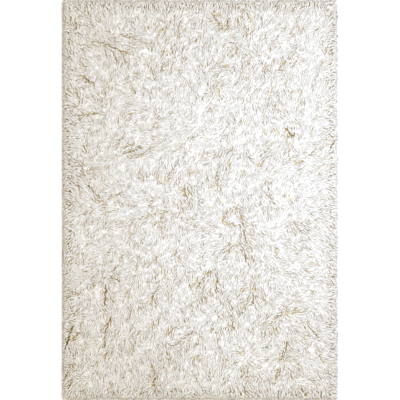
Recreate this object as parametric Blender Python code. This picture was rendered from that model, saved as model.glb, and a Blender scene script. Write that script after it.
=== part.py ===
"""Shag rug: one flat rectangular solid of long wool pile on its woven ground.

Blender 4.5, metres, +Z up. The origin is the middle of the flat underside, X runs across
the rug and Y along it. The solid reaches as far as the pile does: its side leans out past
the woven ground, rounds over, and carries on as a soft uneven top with the pile's main
mounds and partings.
"""

import math
from typing import NamedTuple

import bmesh
import bpy

# Driving sizes, in metres.
RUG_WIDTH = 1.400
RUG_LENGTH = 2.030
PILE_HEIGHT = 0.041
CELL_SIZE = 0.035

# Wool as an average of its bright locks and the darker gaps between them.
WOOL_COLOUR = (0.77, 0.73, 0.68, 1.0)
WOOL_ROUGHNESS = 0.95

# A mound or parting fades out to nothing as a bell curve, so it is cut off past this reach.
FADE_OUT = 3.0


class EdgeRing(NamedTuple):
    """One ring of the rounded side: how far in from the outline it lies, and how high."""

    inset: float
    height: float


class Mound(NamedTuple):
    """A soft swelling of the pile: its centre, its reach along X and Y, and its rise."""

    x: float
    y: float
    reach_x: float
    reach_y: float
    rise: float


class Parting(NamedTuple):
    """A soft trough where the pile falls apart: centre, length, heading, half width, depth."""

    x: float
    y: float
    run: float
    heading_deg: float
    half_width: float
    depth: float


# From the edge of the flat underside out to the widest line, and up to the top.
EDGE_RINGS = (
    EdgeRing(inset=0.012, height=0.000),
    EdgeRing(inset=0.000, height=0.012),
    EdgeRing(inset=0.001, height=0.024),
    EdgeRing(inset=0.010, height=0.034),
)

MOUNDS = (
    Mound(x=-0.36, y=0.56, reach_x=0.09, reach_y=0.10, rise=0.004),
    Mound(x=-0.05, y=0.52, reach_x=0.10, reach_y=0.12, rise=0.004),
    Mound(x=0.26, y=0.77, reach_x=0.08, reach_y=0.10, rise=0.005),
    Mound(x=0.56, y=0.50, reach_x=0.09, reach_y=0.14, rise=0.005),
    Mound(x=-0.45, y=0.14, reach_x=0.10, reach_y=0.11, rise=0.004),
    Mound(x=-0.22, y=0.10, reach_x=0.09, reach_y=0.10, rise=0.003),
    Mound(x=0.25, y=0.15, reach_x=0.11, reach_y=0.10, rise=0.005),
    Mound(x=0.04, y=-0.06, reach_x=0.09, reach_y=0.11, rise=0.004),
    Mound(x=-0.44, y=-0.13, reach_x=0.08, reach_y=0.12, rise=0.004),
    Mound(x=0.38, y=-0.16, reach_x=0.10, reach_y=0.11, rise=0.003),
    Mound(x=0.56, y=-0.46, reach_x=0.09, reach_y=0.13, rise=0.005),
    Mound(x=-0.30, y=-0.56, reach_x=0.10, reach_y=0.10, rise=0.003),
    Mound(x=-0.02, y=-0.52, reach_x=0.09, reach_y=0.12, rise=0.004),
    Mound(x=-0.38, y=-0.79, reach_x=0.10, reach_y=0.09, rise=0.004),
    Mound(x=0.10, y=-0.83, reach_x=0.11, reach_y=0.09, rise=0.003),
)

PARTINGS = (
    Parting(x=-0.457, y=0.776, run=0.25, heading_deg=-22, half_width=0.030, depth=0.010),
    Parting(x=-0.594, y=0.624, run=0.14, heading_deg=-32, half_width=0.028, depth=0.008),
    Parting(x=-0.193, y=0.730, run=0.15, heading_deg=82, half_width=0.030, depth=0.008),
    Parting(x=0.110, y=0.890, run=0.12, heading_deg=-50, half_width=0.030, depth=0.009),
    Parting(x=0.208, y=0.650, run=0.14, heading_deg=84, half_width=0.026, depth=0.007),
    Parting(x=0.462, y=0.335, run=0.08, heading_deg=-45, half_width=0.030, depth=0.009),
    Parting(x=-0.335, y=0.262, run=0.17, heading_deg=20, half_width=0.032, depth=0.009),
    Parting(x=-0.560, y=0.060, run=0.20, heading_deg=-40, half_width=0.030, depth=0.007),
    Parting(x=0.295, y=0.205, run=0.12, heading_deg=44, half_width=0.026, depth=0.008),
    Parting(x=0.218, y=-0.190, run=0.28, heading_deg=-82, half_width=0.028, depth=0.009),
    Parting(x=0.050, y=-0.420, run=0.16, heading_deg=62, half_width=0.032, depth=0.008),
    Parting(x=0.264, y=-0.455, run=0.13, heading_deg=80, half_width=0.028, depth=0.008),
    Parting(x=-0.475, y=-0.600, run=0.36, heading_deg=-87, half_width=0.030, depth=0.009),
    Parting(x=0.370, y=-0.610, run=0.19, heading_deg=46, half_width=0.028, depth=0.008),
    Parting(x=0.244, y=-0.792, run=0.10, heading_deg=-80, half_width=0.032, depth=0.011),
    Parting(x=0.431, y=-0.800, run=0.14, heading_deg=86, half_width=0.030, depth=0.010),
    Parting(x=-0.233, y=-0.890, run=0.14, heading_deg=-88, half_width=0.028, depth=0.008),
    Parting(x=-0.672, y=-0.700, run=0.12, heading_deg=84, half_width=0.032, depth=0.009),
)


def clear_scene():
    """Empty the scene of whatever it opens with."""
    for obj in list(bpy.data.objects):
        bpy.data.objects.remove(obj, do_unlink=True)


def wool_material():
    """Matt ivory wool."""
    material = bpy.data.materials.new("pile_wool")
    material.use_nodes = True
    shader = material.node_tree.nodes["Principled BSDF"]
    shader.inputs["Base Color"].default_value = WOOL_COLOUR
    shader.inputs["Roughness"].default_value = WOOL_ROUGHNESS
    shader.inputs["Metallic"].default_value = 0.0
    return material


def mound_rise(mound, x, y):
    """How far one mound lifts the top at a point."""
    across = (x - mound.x) / mound.reach_x
    along = (y - mound.y) / mound.reach_y
    if max(abs(across), abs(along)) > FADE_OUT:
        return 0.0
    return mound.rise * math.exp(-0.5 * (across**2 + along**2))


def parting_drop(parting, x, y):
    """How far one parting lowers the top at a point beside or beyond its line."""
    heading = math.radians(parting.heading_deg)
    from_centre_x = x - parting.x
    from_centre_y = y - parting.y
    along = from_centre_x * math.cos(heading) + from_centre_y * math.sin(heading)
    across = from_centre_y * math.cos(heading) - from_centre_x * math.sin(heading)
    past_end = max(0.0, abs(along) - parting.run / 2)
    distance = math.hypot(past_end, across) / parting.half_width
    if distance > FADE_OUT:
        return 0.0
    return parting.depth * math.exp(-0.5 * distance**2)


def pile_top(x, y):
    """Height of the lying pile over a point of the rug."""
    rise = sum(mound_rise(mound, x, y) for mound in MOUNDS)
    drop = max(parting_drop(parting, x, y) for parting in PARTINGS)
    return PILE_HEIGHT + rise - drop


def grid_stops(side):
    """Places of the top's grid lines across one side, evenly spaced inside the rounded edge."""
    reach = side / 2 - EDGE_RINGS[-1].inset
    cells = round(2 * reach / CELL_SIZE)
    return [reach * (2 * step / cells - 1) for step in range(cells + 1)]


def add_top(mesh):
    """Lay the pile's top as a grid, its outermost points on the highest ring of the edge."""
    stops_x = grid_stops(RUG_WIDTH)
    stops_y = grid_stops(RUG_LENGTH)
    rows = []
    for y in stops_y:
        on_end = y in (stops_y[0], stops_y[-1])
        row = []
        for x in stops_x:
            on_rim = on_end or x in (stops_x[0], stops_x[-1])
            height = EDGE_RINGS[-1].height if on_rim else pile_top(x, y)
            row.append(mesh.verts.new((x, y, height)))
        rows.append(row)
    for lower, upper in zip(rows, rows[1:]):
        for left in range(len(stops_x) - 1):
            mesh.faces.new((lower[left], lower[left + 1], upper[left + 1], upper[left]))
    return rows


def rim_of(rows):
    """The grid's outermost points, anticlockwise seen from above."""
    right = [row[-1] for row in rows[1:]]
    far = rows[-1][-2::-1]
    left = [row[0] for row in rows[-2:0:-1]]
    return rows[0] + right + far + left


def add_ring(mesh, rim, inner, ring):
    """Join the rim to a new ring of points outside or below it, and return the new ring."""
    scale_x = (RUG_WIDTH / 2 - ring.inset) / (RUG_WIDTH / 2 - inner.inset)
    scale_y = (RUG_LENGTH / 2 - ring.inset) / (RUG_LENGTH / 2 - inner.inset)
    outer = [mesh.verts.new((v.co.x * scale_x, v.co.y * scale_y, ring.height)) for v in rim]
    for here in range(len(rim)):
        before = here - 1
        mesh.faces.new((rim[before], outer[before], outer[here], rim[here]))
    return outer


def add_underside(mesh, rim):
    """Close the solid with a flat underside, its faces meeting in the middle."""
    middle = mesh.verts.new((0.0, 0.0, EDGE_RINGS[0].height))
    for here in range(len(rim)):
        mesh.faces.new((rim[here], rim[here - 1], middle))


def build_rug():
    """The whole rug as one closed body."""
    mesh = bmesh.new()
    rim = rim_of(add_top(mesh))
    for ring, inner in zip(EDGE_RINGS[-2::-1], EDGE_RINGS[::-1]):
        rim = add_ring(mesh, rim, inner, ring)
    add_underside(mesh, rim)
    bmesh.ops.triangulate(mesh, faces=mesh.faces)
    data = bpy.data.meshes.new("shag_rug")
    mesh.to_mesh(data)
    mesh.free()
    data.shade_smooth()
    rug = bpy.data.objects.new("shag_rug", data)
    rug.data.materials.append(wool_material())
    bpy.context.scene.collection.objects.link(rug)
    return rug


clear_scene()
build_rug()
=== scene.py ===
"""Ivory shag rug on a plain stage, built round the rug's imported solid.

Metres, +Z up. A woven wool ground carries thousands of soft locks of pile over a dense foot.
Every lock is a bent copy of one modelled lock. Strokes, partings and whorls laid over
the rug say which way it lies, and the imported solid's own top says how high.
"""

import math
from typing import NamedTuple

import bpy
import numpy as np
from bpy.props import FloatProperty, FloatVectorProperty, IntProperty, PointerProperty
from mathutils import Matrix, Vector
from mathutils.bvhtree import BVHTree


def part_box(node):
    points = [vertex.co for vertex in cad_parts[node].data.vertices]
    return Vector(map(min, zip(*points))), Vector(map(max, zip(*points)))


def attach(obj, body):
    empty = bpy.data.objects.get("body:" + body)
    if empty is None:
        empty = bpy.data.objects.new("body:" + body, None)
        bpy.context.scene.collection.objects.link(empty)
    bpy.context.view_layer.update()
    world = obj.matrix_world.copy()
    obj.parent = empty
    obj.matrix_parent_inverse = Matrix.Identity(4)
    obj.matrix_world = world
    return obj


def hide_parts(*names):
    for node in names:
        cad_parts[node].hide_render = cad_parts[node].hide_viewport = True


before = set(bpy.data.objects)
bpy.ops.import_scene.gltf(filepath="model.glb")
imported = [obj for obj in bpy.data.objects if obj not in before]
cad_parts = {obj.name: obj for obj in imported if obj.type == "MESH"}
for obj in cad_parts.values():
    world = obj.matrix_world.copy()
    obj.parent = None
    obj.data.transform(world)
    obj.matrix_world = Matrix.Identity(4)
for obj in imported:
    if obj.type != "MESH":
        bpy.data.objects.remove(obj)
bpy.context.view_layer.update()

bl_info = {
    "name": "Shag Rug",
    "version": (1, 0, 0),
    "blender": (4, 5, 0),
    "location": "3D View > Sidebar > Shag Rug",
    "description": "Weaves the rug's ground, lays its long pile and sets a plain stage",
    "category": "Object",
}

CAD_NODE = "shag_rug"
SLOT = "pile_wool"
LOW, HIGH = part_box(CAD_NODE)
RUG_WIDTH = HIGH.x - LOW.x
RUG_LENGTH = HIGH.y - LOW.y


# The lie of the pile ---------------------------------------


class Stroke(NamedTuple):
    """A place where the pile has been brushed: which way its tips point, and how far around."""

    x: float
    y: float
    heading_deg: float
    reach: float


class Parting(NamedTuple):
    """A slit between locks: its middle, its length, the way the locks beside it point, how far
    they spread away from it, and half the slit's width."""

    x: float
    y: float
    run: float
    heading_deg: float
    spread_deg: float
    half_width: float


class Whorl(NamedTuple):
    """A crown from which the locks fall away on every side, with a twist."""

    x: float
    y: float
    reach: float
    twist_deg: float


STROKES = [Stroke(*row) for row in (
    # x, y, heading_deg, reach
    # Far end, tips over the edge.
    (-0.64, 0.96, 112, 0.07),
    (-0.50, 0.95, 120, 0.06),
    (-0.38, 0.93, 50, 0.06),
    (-0.24, 0.96, 95, 0.07),
    (-0.08, 0.95, 85, 0.07),
    (0.10, 0.97, 110, 0.06),
    (0.27, 0.96, 98, 0.07),
    (0.46, 0.96, 86, 0.07),
    (0.62, 0.95, 72, 0.07),
    # Far third.
    (-0.62, 0.79, 142, 0.07),
    (-0.49, 0.80, 152, 0.07),
    (-0.36, 0.72, 120, 0.06),
    (-0.28, 0.84, 140, 0.06),
    (-0.12, 0.77, 74, 0.07),
    (0.06, 0.78, 66, 0.07),
    (0.27, 0.78, 118, 0.07),
    (0.36, 0.86, 52, 0.06),
    (0.48, 0.75, 28, 0.06),
    (0.63, 0.77, 74, 0.07),
    (-0.65, 0.58, 160, 0.06),
    (-0.52, 0.58, 100, 0.06),
    (-0.40, 0.54, 62, 0.07),
    (-0.24, 0.62, 124, 0.07),
    (-0.08, 0.57, 124, 0.07),
    (0.10, 0.58, 46, 0.07),
    (0.27, 0.60, 82, 0.06),
    (0.44, 0.57, 100, 0.07),
    (0.57, 0.52, 118, 0.06),
    (0.66, 0.60, 34, 0.05),
    # Middle, falling to the two sides.
    (-0.64, 0.40, 196, 0.06),
    (-0.50, 0.42, 160, 0.06),
    (-0.33, 0.38, 34, 0.07),
    (-0.12, 0.39, 18, 0.07),
    (0.08, 0.38, 58, 0.07),
    (0.26, 0.39, 98, 0.07),
    (0.46, 0.42, 128, 0.06),
    (0.65, 0.40, -12, 0.06),
    (-0.64, 0.20, 156, 0.06),
    (-0.49, 0.24, 58, 0.06),
    (-0.31, 0.25, 22, 0.07),
    (-0.10, 0.24, 64, 0.06),
    (0.08, 0.25, 44, 0.06),
    (0.19, 0.14, 82, 0.06),
    (0.33, 0.18, 62, 0.06),
    (0.50, 0.22, 36, 0.07),
    (0.65, 0.19, 22, 0.06),
    (-0.62, 0.05, 142, 0.07),
    (-0.47, 0.03, 140, 0.06),
    (-0.29, 0.06, 136, 0.08),
    (-0.10, 0.02, 118, 0.06),
    (0.05, -0.02, 126, 0.06),
    (0.28, -0.02, 92, 0.07),
    (0.48, 0.00, 62, 0.07),
    (0.65, 0.00, -28, 0.06),
    # Near half, combed towards the near edge.
    (-0.64, -0.10, 222, 0.06),
    (-0.44, -0.10, 236, 0.07),
    (-0.28, -0.12, 228, 0.07),
    (-0.12, -0.16, 262, 0.06),
    (0.05, -0.18, 205, 0.06),
    (0.26, -0.20, 286, 0.06),
    (0.45, -0.20, 312, 0.06),
    (0.64, -0.22, -54, 0.06),
    (-0.64, -0.30, 232, 0.06),
    (-0.45, -0.32, 214, 0.07),
    (-0.26, -0.34, 246, 0.06),
    (-0.08, -0.38, 250, 0.07),
    (0.10, -0.36, 228, 0.06),
    (0.28, -0.40, 262, 0.07),
    (0.47, -0.42, 342, 0.07),
    (0.64, -0.40, -40, 0.06),
    (-0.64, -0.55, 226, 0.06),
    (-0.48, -0.50, 272, 0.06),
    (-0.36, -0.60, 238, 0.06),
    (-0.20, -0.62, 258, 0.07),
    (-0.06, -0.58, 284, 0.07),
    (0.10, -0.60, 274, 0.07),
    (0.27, -0.62, 268, 0.06),
    (0.46, -0.56, 340, 0.07),
    (0.64, -0.60, -38, 0.06),
    # Near end, tips over the edge.
    (-0.64, -0.80, 226, 0.07),
    (-0.46, -0.78, 258, 0.06),
    (-0.30, -0.80, 272, 0.07),
    (-0.12, -0.80, 290, 0.06),
    (0.06, -0.78, 272, 0.07),
    (0.56, -0.78, 294, 0.07),
    (-0.60, -0.95, 238, 0.07),
    (-0.44, -0.96, 246, 0.07),
    (-0.28, -0.96, 262, 0.07),
    (-0.10, -0.95, 284, 0.07),
    (0.08, -0.96, 268, 0.07),
    (0.24, -0.96, 272, 0.07),
    (0.44, -0.96, 276, 0.07),
    (0.62, -0.94, 298, 0.07),
)]

PARTINGS = [Parting(*row) for row in (
    # x, y, run, heading_deg, spread_deg, half_width
    (-0.457, 0.776, 0.20, 158, 14, 0.005),
    (-0.594, 0.624, 0.13, 148, 20, 0.005),
    (-0.629, 0.880, 0.08, 98, 20, 0.004),
    (-0.545, 0.885, 0.03, 130, 20, 0.003),
    (-0.560, 0.800, 0.09, 150, 14, 0.003),
    (-0.429, 0.716, 0.06, 112, 20, 0.005),
    (-0.366, 0.828, 0.07, 168, 20, 0.004),
    (-0.370, 0.690, 0.07, 122, 14, 0.003),
    (-0.338, 0.555, 0.03, -38, 24, 0.004),
    (-0.619, 0.528, 0.08, 112, 22, 0.004),
    (-0.573, 0.432, 0.14, 186, 24, 0.004),
    (-0.487, 0.560, 0.09, 88, 20, 0.003),
    (-0.193, 0.860, 0.06, 30, 24, 0.004),
    (-0.107, 0.850, 0.08, 92, 26, 0.004),
    (-0.187, 0.740, 0.06, 80, 24, 0.004),
    (-0.190, 0.673, 0.05, 62, 20, 0.004),
    (-0.238, 0.640, 0.07, 124, 14, 0.003),
    (-0.140, 0.760, 0.05, 70, 20, 0.003),
    (0.080, 0.915, 0.07, 128, 24, 0.006),
    (0.120, 0.872, 0.05, 40, 24, 0.004),
    (0.140, 0.893, 0.07, 88, 24, 0.004),
    (0.213, 0.878, 0.07, 136, 20, 0.004),
    (0.185, 0.755, 0.05, 66, 26, 0.004),
    (0.119, 0.676, 0.04, 10, 20, 0.004),
    (0.212, 0.660, 0.09, 84, 22, 0.003),
    (0.086, 0.568, 0.07, 114, 22, 0.003),
    (0.325, 0.655, 0.05, 78, 24, 0.004),
    (0.411, 0.672, 0.06, 58, 16, 0.004),
    (0.372, 0.470, 0.05, 112, 24, 0.004),
    (0.360, 0.545, 0.05, 70, 24, 0.003),
    (0.451, 0.342, 0.06, 136, 24, 0.007),
    (-0.395, 0.305, 0.04, 20, 12, 0.004),
    (-0.365, 0.270, 0.06, 22, 10, 0.004),
    (-0.340, 0.248, 0.09, 22, 10, 0.005),
    (-0.335, 0.225, 0.07, 12, 10, 0.003),
    (-0.273, 0.245, 0.07, 38, 10, 0.004),
    (-0.610, 0.178, 0.05, 128, 16, 0.005),
    (-0.650, 0.172, 0.07, 154, 14, 0.003),
    (-0.530, 0.158, 0.05, 4, 26, 0.004),
    (-0.575, 0.112, 0.07, 134, 14, 0.003),
    (-0.632, 0.082, 0.08, 134, 14, 0.004),
    (-0.530, 0.035, 0.12, 134, 14, 0.004),
    (-0.540, -0.004, 0.09, 172, 14, 0.003),
    (-0.675, -0.040, 0.05, 216, 20, 0.003),
    (-0.452, 0.002, 0.04, 6, 20, 0.003),
    (-0.155, 0.122, 0.05, 62, 26, 0.004),
    (-0.078, 0.040, 0.04, 96, 20, 0.005),
    (-0.066, 0.000, 0.09, 114, 18, 0.005),
    (-0.175, -0.062, 0.05, 24, 16, 0.004),
    (-0.195, -0.100, 0.04, 96, 20, 0.004),
    (0.246, 0.215, 0.05, 144, 20, 0.004),
    (0.340, 0.260, 0.10, 44, 14, 0.003),
    (0.320, 0.192, 0.07, 58, 16, 0.004),
    (0.462, 0.210, 0.06, 28, 14, 0.004),
    (0.502, 0.188, 0.05, 28, 14, 0.004),
    (0.604, 0.258, 0.04, 34, 20, 0.003),
    (0.150, 0.245, 0.04, 44, 20, 0.004),
    (0.088, 0.110, 0.07, 88, 20, 0.004),
    (0.140, 0.150, 0.07, 78, 18, 0.003),
    (0.125, -0.078, 0.05, 68, 20, 0.004),
    (0.150, -0.120, 0.06, -18, 20, 0.004),
    (0.205, -0.080, 0.11, -74, 20, 0.004),
    (0.228, -0.190, 0.09, -82, 20, 0.004),
    (0.222, -0.270, 0.08, -68, 20, 0.005),
    (0.140, -0.250, 0.06, 212, 20, 0.004),
    (0.362, 0.000, 0.06, 122, 20, 0.003),
    (0.500, -0.145, 0.06, -42, 12, 0.004),
    (0.528, -0.135, 0.06, -38, 12, 0.003),
    (0.020, -0.400, 0.11, 228, 20, 0.005),
    (0.082, -0.420, 0.09, 266, 24, 0.005),
    (0.008, -0.490, 0.07, 262, 24, 0.004),
    (0.275, -0.420, 0.05, 246, 18, 0.004),
    (0.268, -0.490, 0.07, 262, 18, 0.005),
    (0.205, -0.475, 0.07, 226, 14, 0.003),
    (0.162, -0.590, 0.13, 274, 14, 0.004),
    (0.145, -0.650, 0.04, 270, 14, 0.003),
    (0.195, -0.575, 0.04, 270, 14, 0.004),
    (-0.478, -0.480, 0.09, 266, 22, 0.006),
    (-0.462, -0.620, 0.06, 246, 22, 0.005),
    (-0.480, -0.690, 0.12, 266, 24, 0.004),
    (-0.478, -0.785, 0.03, 244, 22, 0.005),
    (-0.430, -0.400, 0.05, 150, 24, 0.004),
    (-0.240, -0.495, 0.04, 252, 20, 0.005),
    (-0.628, -0.558, 0.04, 228, 20, 0.004),
    (-0.655, -0.665, 0.05, 240, 26, 0.006),
    (-0.672, -0.720, 0.07, 250, 26, 0.007),
    (-0.625, -0.690, 0.04, 232, 20, 0.005),
    (-0.665, -0.870, 0.10, 240, 14, 0.004),
    (-0.332, -0.730, 0.09, 252, 16, 0.003),
    (-0.145, -0.660, 0.06, 222, 14, 0.004),
    (-0.085, -0.700, 0.12, 216, 12, 0.004),
    (-0.155, -0.800, 0.06, 290, 18, 0.004),
    (-0.235, -0.855, 0.07, 286, 18, 0.004),
    (-0.232, -0.925, 0.10, 272, 14, 0.005),
    (0.372, -0.610, 0.15, 222, 14, 0.004),
    (0.480, -0.560, 0.09, -10, 14, 0.004),
    (0.572, -0.665, 0.07, -50, 14, 0.004),
    (0.438, -0.745, 0.07, -94, 18, 0.005),
    (0.415, -0.790, 0.05, -110, 20, 0.006),
    (0.385, -0.890, 0.07, -112, 14, 0.005),
    (0.458, -0.880, 0.05, -58, 14, 0.004),
    (0.240, -0.880, 0.10, -92, 14, 0.003),
    (0.222, -0.965, 0.05, -90, 14, 0.004),
    (0.520, -0.965, 0.06, -62, 14, 0.005),
)]

WHORLS = [Whorl(*row) for row in (
    # x, y, reach, twist_deg
    (0.244, -0.792, 0.055, 10),
    (0.425, -0.815, 0.050, -10),
    (0.128, 0.870, 0.050, 20),
    (-0.337, 0.560, 0.050, 70),
    (0.130, -0.100, 0.045, 20),
    (-0.610, -0.700, 0.045, 20),
)]

# How firmly each kind of mark combs the pile, next to a stroke's pull of one, and how far.
PARTING_PULL = 5.0
PARTING_REACH = 0.013
WHORL_PULL = 3.0
EDGE_PULL = 1.6
EDGE_REACH = 0.035

# How unevenly locks stand and lie: a slow turn all over, a tuft's own turn and a lock's own.
GRID_JITTER = 0.45
LOCK_INSET = 0.006
TURN_CELL = 0.055
TURN_DEG = 40
TUFT_TURN_DEG = 14
OWN_TURN_DEG = 10
LOCK_UNEVENNESS = 0.0002

# Shares of the usual reach and width, least and most. Some locks lie low, under the others.
LOCK_REACHES = (0.75, 1.2)
LOCK_WIDTHS = (0.65, 1.3)
UNDER_WOOL = 0.04
UNDER_REACHES = (0.35, 0.60)
UNDER_LIFT = 0.3

# The locks of a tuft draw together towards their tips, and each one waves from side to side.
# Wave and unevenness are at their full from a third and a quarter of a lock's run.
GATHER = 0.2
GATHER_CURVE = 1.4
WAVE = 0.0030
WAVE_TURNS = (0.6, 1.3)
WAVE_RISE = 3
UNEVEN_RISE = 4

# How high locks lie: the lowest as a share of the top, a tuft's say against a lock's own, and
# where roots stand in the ground's thickness.
LOW_CREST = 0.975
TUFT_LIFT = 0.9
LOWEST_LOCK = 0.002
ROOT_SHARE = 0.5

# How the pile rounds down to the floor at the rug's edge.
EDGE_DROP = 0.95
EDGE_ROUNDING = 0.0065
EDGE_SOFTNESS = 0.012
# By the rim, how far below the wool's crest a point may count as lying, and the reach over which
# that limit eases off. This keeps the painted shade there light.
RIM_DEPTH = 0.0045
RIM_REACH = 0.030

# Soft swells of the pile, and the hollows between them.
SWELL_SPACING = 0.115
SWELL_JITTER = 0.42
SWELL_CALM = 0.9
HOLLOW_WIDTH = 0.28
HOLLOW_DEPTH = 0.002

# Small slits strewn between the locks, most of them in hollows and round the partings.
SLIT_SPACING = 0.0245
SLIT_JITTER = 0.5
SLIT_INSET = 0.012
SLIT_CHANCE_IN_HOLLOW = 0.6
SLIT_CHANCE_BY_PARTING = 0.45
SLIT_GATHERING = 0.045
SLIT_TURN = 0.3
SLIT_RUNS = (0.008, 0.040)
SLIT_HALF_WIDTHS = (0.0007, 0.0014)

# Every parting is a wavy line of short pieces.
PARTING_WIDTH = 0.48
SLIT_PIECE = 0.008
SLIT_PIECE_RUN = 0.7
SLIT_PIECE_WIDTHS = (0.5, 1.15)
SLIT_WANDER = 0.0021
SLIT_WAVE_DEG = 28

# How deep the wool falls into a slit, and how its locks crowd up beside it.
SLIT_CELL = 0.002
SLIT_STEEPNESS = 4.4
SLIT_FADE = 4
LOCK_SINK = 0.5
CROWDING = 1.2
CROWD_FADE = 6
PUSH_REACH = 0.045
PUSH_FADE = 0.006
LARGEST_POWER = 30

# The dense foot of the pile, under the loose locks.
FOOT_CELLS = (150, 220)
FOOT_INSET = 0.010
FOOT_SHARE = 0.972
FOOT_UNEVENNESS = 0.0015
FOOT_MARGIN = 0.006
FOOT_BASE = 0.8
FOOT_EDGE_DROP = 0.7
FOOT_EDGE_REACH = 0.012
# How far the foot's crest may lie above it, by the edge and elsewhere. This keeps the painted shade
# on the foot light.
FOOT_EDGE_DEPTH = 0.004
FOOT_DEPTH = 0.0085

# Painted shade on the wool, by its depth below the locks around it, and on the locks' flanks.
SURFACE_CELL = 0.003
SURFACE_STOPS = 24
CREST_CELLS = 2
SHADE_START_DEPTH = 0.0035
SHADE_FULL_DEPTH = 0.010
FLANK_SHADE = 0.4
TUFT_TINT = 0.6
OWN_TINT = 0.8
TINT_STRENGTH = 0.018

# The lock's rings from root to tip: how full it is there. It closes to a point past the last.
RING_WIDTHS = (0.45, 0.95, 1.0, 0.55)
LOCK_SIDES = 3
LOCK_FLATNESS = 0.30
STRIPS = 5
ATLAS_MARGIN = 0.10

# A path's stops from root to tip: how far it has run out, and how far it has risen.
RUN_SHARES = np.array([0.0, 0.14, 0.42, 0.72, 1.0])
RISE_SHARES = np.array([0.0, 0.75, 1.0, 0.98, 0.88])
MIDDLE_STOP = 2

# The stage. The view is as tall as this share of the rug's length, at the level of its pile.
FLOOR_SIZE = 60.0
FLOOR_DROP = 0.0005
KEY_SIZE = 1.4
KEY_PLACE = (0.85, 0.23, 2.2)
WALL_SHARE = 0.5
OVERHEAD_SHARE = 1.25
VIEW_SHARE = 0.997
VIEW_LEVEL = 0.02


class ShagRugGround(bpy.types.PropertyGroup):
    """Sizes and colour of the woven ground"""

    overhang: FloatProperty(
        name="Pile Overhang",
        description="How far the pile leans past the ground on every side",
        default=0.016, min=0.0, unit="LENGTH",
    )
    thickness: FloatProperty(
        name="Thickness",
        description="Thickness of the woven ground",
        default=0.0025, min=0.001, unit="LENGTH",
    )
    thread: FloatProperty(
        name="Thread Spacing",
        description="Distance from one ground thread to the next",
        default=0.006, min=0.002, unit="LENGTH",
    )
    colour: FloatVectorProperty(
        name="Thread Colour",
        description="Colour of the undyed ground threads",
        default=(0.84, 0.77, 0.62), min=0.0, max=1.0, subtype="COLOR",
    )


class ShagRugPile(bpy.types.PropertyGroup):
    """Sizes and colours of the long pile"""

    lock_spacing: FloatProperty(
        name="Lock Spacing",
        description="Distance from one lock's root to the next",
        default=0.0083, min=0.006, unit="LENGTH",
    )
    lock_reach: FloatProperty(
        name="Lock Reach",
        description="How far a lock lies out from its root",
        default=0.048, min=0.02, unit="LENGTH",
    )
    lock_width: FloatProperty(
        name="Lock Width",
        description="Width of a lock at its fullest",
        default=0.0075, min=0.002, unit="LENGTH",
    )
    tuft_spacing: FloatProperty(
        name="Tuft Spacing",
        description="Distance between neighbouring tufts of locks that cling together",
        default=0.036, min=0.01, unit="LENGTH",
    )
    tip_colour: FloatVectorProperty(
        name="Tip Colour",
        description="Colour of the locks where they lie on top",
        default=(0.90, 0.863, 0.765), min=0.0, max=1.0, subtype="COLOR",
    )
    # Painted shade: the colour the wool turns to deep between other locks and on their flanks. Its
    # warmth is partly the wool's own warmer roots, and its darkness is painted shade.
    painted_shade_colour: FloatVectorProperty(
        name="Root Colour",
        description="Colour of the locks deep between others",
        default=(0.70, 0.47, 0.085), min=0.0, max=1.0, subtype="COLOR",
    )
    seed: IntProperty(
        name="Seed",
        description="Picks one of many ways the small unevenness of the pile can fall",
        default=7, min=0,
    )


class ShagRugStage(bpy.types.PropertyGroup):
    """The plain stage"""

    lens: FloatProperty(
        name="Lens",
        description="Focal length in millimetres of the camera straight above the rug",
        default=100.0, min=20.0,
    )
    key_power: FloatProperty(
        name="Key Light",
        description="Power of the large soft light on the right",
        default=41.5, min=0.0, unit="POWER",
    )
    key_colour: FloatVectorProperty(
        name="Key Colour",
        description="Colour of the large soft light",
        default=(0.80, 1.04, 1.64), min=0.0, max=2.0, subtype="COLOR",
    )
    room_colour: FloatVectorProperty(
        name="Room Colour",
        description="Colour of the even light from all round",
        default=(1.04, 0.97, 0.84), min=0.0, max=2.0, subtype="COLOR",
    )
    room_light: FloatProperty(
        name="Room Light",
        description="Strength of the even light from all round",
        default=0.78, min=0.0,
    )


# Shared bits of modelling and shading ----------------------


def deselect_all():
    """Leave nothing selected, so that an operator acts on the new piece alone."""
    if bpy.context.object and bpy.context.object.mode != "OBJECT":
        bpy.ops.object.mode_set(mode="OBJECT")
    bpy.ops.object.select_all(action="DESELECT")


def settle(piece, name):
    """Name a piece and put its place into its mesh."""
    piece.name = name
    piece.data.name = name
    deselect_all()
    piece.select_set(True)
    bpy.context.view_layer.objects.active = piece
    bpy.ops.object.transform_apply(location=True, rotation=True, scale=True)
    return piece


def new_material(name):
    """A material with its Principled shader, and the tree that feeds it."""
    material = bpy.data.materials.new(name)
    material.use_nodes = True
    tree = material.node_tree
    return material, tree, tree.nodes["Principled BSDF"]


def add_node(tree, kind, inputs=None, **settings):
    """A node with its settings, and its inputs either set or linked."""
    node = tree.nodes.new(kind)
    for name, value in settings.items():
        setattr(node, name, value)
    for name, value in (inputs or {}).items():
        if isinstance(value, bpy.types.NodeSocket):
            tree.links.new(value, node.inputs[name])
        else:
            node.inputs[name].default_value = value
    return node


def calculate(tree, operation, *values, **settings):
    """The output of a Math node that works on these values."""
    inputs = dict(enumerate(values))
    node = add_node(tree, "ShaderNodeMath", inputs, operation=operation, **settings)
    return node.outputs["Value"]


def smooth(share):
    """Ease in and out between 0 and 1."""
    return share * share * (3.0 - 2.0 * share)


def bell(distance):
    """A bell curve, one in the middle."""
    return np.exp(-0.5 * distance**2)


def blended(values, row, column, part_x, part_y):
    """Blend a grid's values between the four corners of each point's cell."""
    low, high = (
        values[line, column] * (1 - part_x) + values[line, column + 1] * part_x
        for line in (row, row + 1)
    )
    return low * (1 - part_y) + high * part_y


# The rug's outline and top ---------------------------------


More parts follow.
